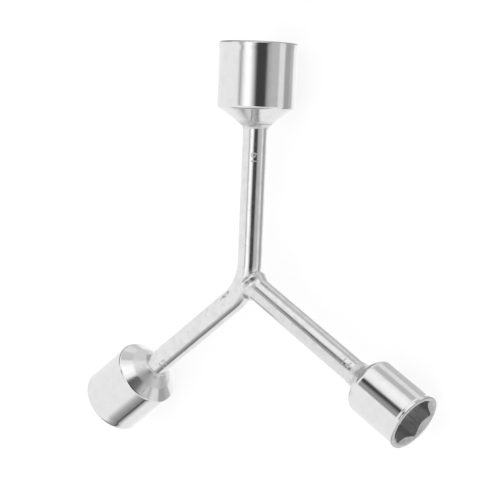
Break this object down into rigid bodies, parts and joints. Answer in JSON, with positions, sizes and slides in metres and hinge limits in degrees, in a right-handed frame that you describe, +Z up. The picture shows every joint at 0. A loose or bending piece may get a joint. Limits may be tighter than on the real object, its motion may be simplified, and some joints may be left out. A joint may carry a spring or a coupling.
{
  "type": "y wrench",
  "caption": "Three-way hex socket wrench: round chromed bars welded into a flat Y, with a closed-end hex socket on the end of each arm.",
  "frame": {"origin": "middle of the footprint, at the bench that the three sockets lie on", "axes": "+Y along the 19 mm socket's arm, +X towards the 14 mm socket's side, +Z up from the bench, so the Y lies flat"},
  "size_m": [0.1392, 0.1348, 0.0258],
  "materials": {
    "bar_chrome": "bright chrome plate over drawn steel bar",
    "socket_chrome": "bright chrome plate over turned steel, duller inside the broached hex",
    "weld_chrome": "bright chrome plate over rippled weld beads"
  },
  "bodies": {
    "root": {"bent_bar": "bar_chrome", "branch_bar": "bar_chrome", "junction_weld": "weld_chrome", "socket_19": "socket_chrome", "socket_17": "socket_chrome", "socket_14": "socket_chrome", "neck_weld_19": "weld_chrome", "neck_weld_17": "weld_chrome", "neck_weld_14": "weld_chrome"}
  },
  "joints": []
}
